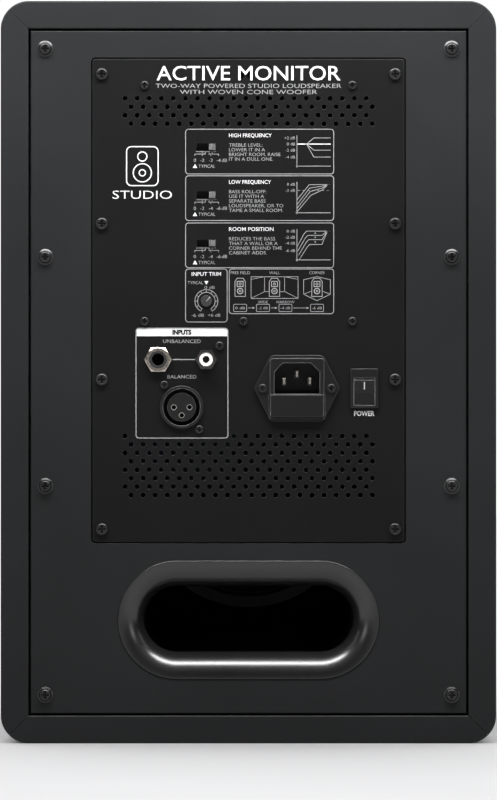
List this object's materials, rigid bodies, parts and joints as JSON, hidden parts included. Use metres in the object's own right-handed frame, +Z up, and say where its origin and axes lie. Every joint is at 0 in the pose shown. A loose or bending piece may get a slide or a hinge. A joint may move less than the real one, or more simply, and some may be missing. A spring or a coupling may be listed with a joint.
{
  "type": "active studio monitor",
  "caption": "Upright two-way active studio monitor with a rear amplifier plate, slot port, slide switches, trim knob, fuse drawer and rocker switch.",
  "frame": {"origin": "middle of the cabinet's underside", "axes": "+Z up, the drivers face -Y, the connector plate faces +Y, +X to the right as seen from the front"},
  "size_m": [0.267, 0.3027, 0.4],
  "materials": {
    "cabinet_paint": "satin black lacquer on fibreboard",
    "baffle_paint": "fine textured black lacquer",
    "panel_paint": "satin black lacquer, lightly textured",
    "batten_wood": "bare softwood",
    "port_plastic": "semi-gloss black moulding",
    "inner_port_plastic": "black moulding",
    "plate_paint": "fine black powder coat",
    "black_screw": "blackened steel",
    "foam_rubber": "closed-cell sealing strip",
    "tub_plastic": "moulded black plastic",
    "aluminium_black": "black anodised",
    "package_plastic": "epoxy package",
    "board_green": "glass-fibre circuit board",
    "can_sleeve": "shrink sleeve",
    "core_steel": "wound strip core",
    "winding": "lacquered copper wire under tape",
    "zinc_steel": "zinc plated",
    "switch_plastic": "black moulding",
    "lever_grey": "grey moulding",
    "knob_grey": "dark grey moulding",
    "xlr_black": "black moulding",
    "contact_metal": "tin plated brass",
    "nickel": "bright nickel",
    "white_plastic": "white insulator",
    "inlet_black": "black thermoplastic",
    "fuse_glass": "glass tube with nickel caps",
    "rocker_black": "black thermoplastic",
    "basket_metal": "black coated casting",
    "surround_rubber": "soft black rubber",
    "cone_fibre": "woven aramid fibre, resin sealed",
    "cap_black": "black coated dust cap",
    "former": "heat-proof film former with copper wire",
    "spider_cloth": "resin-treated cloth",
    "motor_steel": "passivated steel",
    "ferrite": "ferrite",
    "waveguide_plastic": "satin black moulding",
    "dome_silk": "coated silk",
    "lens": "clear blue lens",
    "lead_sheath": "red and black sheathed lead",
    "foam": "open-cell acoustic foam"
  },
  "bodies": {
    "cabinet": {"cabinet_top": "cabinet_paint", "cabinet_bottom": "cabinet_paint", "cabinet_left": "cabinet_paint", "cabinet_right": "cabinet_paint", "front_baffle": "baffle_paint", "rear_panel": "panel_paint", "rear_battens": "batten_wood", "port_tube": "port_plastic", "port_inner_flare": "inner_port_plastic", "amp_plate": "plate_paint", "rear_panel_screws": "black_screw", "amp_plate_screws": "black_screw", "small_screws": "black_screw", "driver_screws": "black_screw", "amp_gasket": "foam_rubber", "amp_housing": "tub_plastic", "heat_sink": "aluminium_black", "power_transistors": "package_plastic", "power_pcb": "board_green", "control_pcb": "board_green", "input_pcb": "board_green", "pcb_capacitors": "can_sleeve", "transformer_core": "core_steel", "transformer_winding": "winding", "transformer_clamp": "zinc_steel", "slide_switch_bodies": "switch_plastic", "trim_pot_body": "switch_plastic", "jack_block": "switch_plastic", "xlr_shell": "xlr_black", "xlr_insert": "xlr_black", "signal_contacts": "contact_metal", "mains_contacts": "contact_metal", "jack_nut": "nickel", "rca_barrel": "nickel", "rca_insulator": "white_plastic", "iec_inlet_body": "inlet_black", "power_switch_body": "rocker_black", "woofer_basket": "basket_metal", "woofer_surround": "surround_rubber", "tweeter_surround": "surround_rubber", "woofer_spider": "spider_cloth", "woofer_top_plate": "motor_steel", "woofer_yoke": "motor_steel", "tweeter_motor": "motor_steel", "woofer_magnet": "ferrite", "tweeter_waveguide": "waveguide_plastic", "led_window": "lens", "driver_leads": "lead_sheath", "damping_foam": "foam"},
    "hf_lever": {"hf_switch_lever": "lever_grey"},
    "lf_lever": {"lf_switch_lever": "lever_grey"},
    "room_lever": {"room_switch_lever": "lever_grey"},
    "trim": {"trim_knob": "knob_grey"},
    "drawer": {"fuse_drawer": "inlet_black", "fuse": "fuse_glass"},
    "rocker": {"power_rocker": "rocker_black"},
    "woofer_diaphragm": {"woofer_cone": "cone_fibre", "woofer_dust_cap": "cap_black", "woofer_voice_coil": "former"},
    "tweeter_diaphragm": {"tweeter_dome": "dome_silk"}
  },
  "joints": [
    {"name": "hf_slide", "type": "slide", "parent": "cabinet", "child": "hf_lever", "axis": [1, 0, 0], "range_m": [0, 0.0066]},
    {"name": "lf_slide", "type": "slide", "parent": "cabinet", "child": "lf_lever", "axis": [1, 0, 0], "range_m": [0, 0.0066]},
    {"name": "room_slide", "type": "slide", "parent": "cabinet", "child": "room_lever", "axis": [1, 0, 0], "range_m": [0, 0.0066]},
    {"name": "trim_turn", "type": "hinge", "parent": "cabinet", "child": "trim", "pos_m": [0.0227, 0.1443, 0.2383], "axis": [0, 1, 0], "range_deg": [-108, 192]},
    {"name": "drawer_slide", "type": "slide", "parent": "cabinet", "child": "drawer", "axis": [0, 1, 0], "range_m": [0, 0.016]},
    {"name": "rocker_tilt", "type": "hinge", "parent": "cabinet", "child": "rocker", "pos_m": [-0.0624, 0.1438, 0.1894], "axis": [1, 0, 0], "range_deg": [0, 20]},
    {"name": "woofer_stroke", "type": "slide", "parent": "cabinet", "child": "woofer_diaphragm", "axis": [0, -1, 0], "range_m": [-0.005, 0.005], "stiffness_N_per_m": 1900, "deforming": ["woofer_surround", "woofer_spider"]},
    {"name": "tweeter_stroke", "type": "slide", "parent": "cabinet", "child": "tweeter_diaphragm", "axis": [0, -1, 0], "range_m": [-0.0004, 0.0004], "stiffness_N_per_m": 1500, "deforming": ["tweeter_surround"]}
  ]
}
